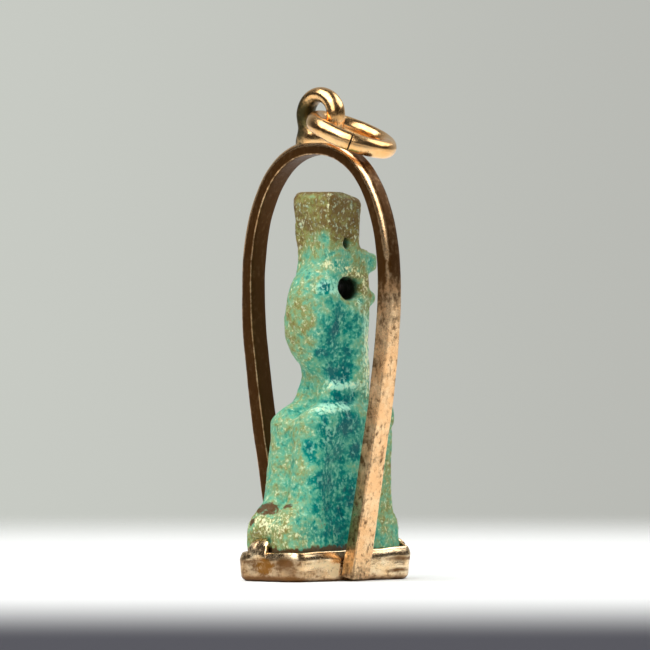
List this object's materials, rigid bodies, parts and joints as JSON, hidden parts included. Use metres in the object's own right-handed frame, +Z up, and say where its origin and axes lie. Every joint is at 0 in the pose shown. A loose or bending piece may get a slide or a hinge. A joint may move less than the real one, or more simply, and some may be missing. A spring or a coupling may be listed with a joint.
{
  "type": "mounted figure amulet",
  "caption": "Worn turquoise faience amulet of a seated figure with a flat-topped crown, clawed into a gold tray under a tall gold arch with a loop and jump ring.",
  "frame": {"origin": "middle of the tray's flat underside, where the amulet stands", "axes": "+Z up, -Y the way the figure faces, X across the figure in the plane of the arch"},
  "size_m": [0.0124, 0.0104, 0.029],
  "materials": {
    "faience": "worn turquoise glaze with olive and cream weathering",
    "old_gold": "tarnished rose gold",
    "bright_gold": "rubbed rose gold"
  },
  "bodies": {
    "root": {"faience_figure": "faience", "gold_tray": "old_gold", "gold_arch": "old_gold", "hanging_loop": "bright_gold", "jump_ring": "bright_gold"}
  },
  "joints": []
}
